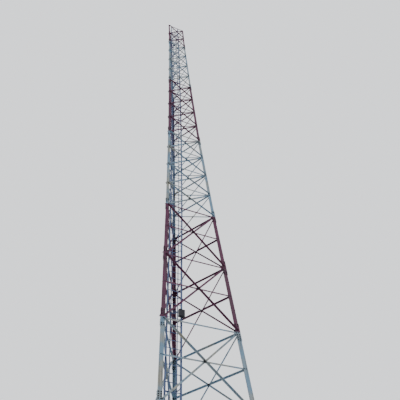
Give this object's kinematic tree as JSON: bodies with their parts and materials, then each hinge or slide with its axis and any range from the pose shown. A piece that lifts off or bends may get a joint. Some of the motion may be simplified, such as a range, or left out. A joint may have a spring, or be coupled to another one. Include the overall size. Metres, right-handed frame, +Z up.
{
  "type": "radio mast",
  "caption": "Three-legged steel lattice mast with crossed bracing, bolted sections painted in alternating bands, and a caged ladder behind the front side.",
  "frame": {"origin": "middle of the underside of the left leg's foot plate", "axes": "+Z up; the side with the ladder faces -Y; +X runs from the left leg to the right leg"},
  "size_m": [4.8084, 4.1642, 39],
  "materials": {
    "red_paint": "weathered matt",
    "white_paint": "weathered matt",
    "ladder_steel": "matt",
    "box_paint": "satin"
  },
  "bodies": {
    "root": {"leg_left_1": "red_paint", "leg_right_1": "red_paint", "leg_back_1": "red_paint", "side_front_1": "red_paint", "side_right_1": "red_paint", "side_left_1": "red_paint", "leg_left_2": "white_paint", "leg_right_2": "white_paint", "leg_back_2": "white_paint", "side_front_2": "white_paint", "side_right_2": "white_paint", "side_left_2": "white_paint", "leg_left_3": "red_paint", "leg_right_3": "red_paint", "leg_back_3": "red_paint", "side_front_3": "red_paint", "side_right_3": "red_paint", "side_left_3": "red_paint", "leg_left_4": "white_paint", "leg_right_4": "white_paint", "leg_back_4": "white_paint", "side_front_4": "white_paint", "side_right_4": "white_paint", "side_left_4": "white_paint", "leg_left_5": "red_paint", "leg_right_5": "red_paint", "leg_back_5": "red_paint", "side_front_5": "red_paint", "side_right_5": "red_paint", "side_left_5": "red_paint", "leg_left_6": "white_paint", "leg_right_6": "white_paint", "leg_back_6": "white_paint", "side_front_6": "white_paint", "side_right_6": "white_paint", "side_left_6": "white_paint", "leg_left_7": "red_paint", "leg_right_7": "red_paint", "leg_back_7": "red_paint", "side_front_7": "red_paint", "side_right_7": "red_paint", "side_left_7": "red_paint", "ladder_lower": "ladder_steel", "cage_left_lower": "ladder_steel", "cage_back_lower": "ladder_steel", "cage_right_lower": "ladder_steel", "ladder_middle": "ladder_steel", "cage_left_middle": "ladder_steel", "cage_back_middle": "ladder_steel", "cage_right_middle": "ladder_steel", "ladder_upper": "ladder_steel", "cage_left_upper": "ladder_steel", "cage_back_upper": "ladder_steel", "cage_right_upper": "ladder_steel", "junction_box": "box_paint"}
  },
  "joints": []
}
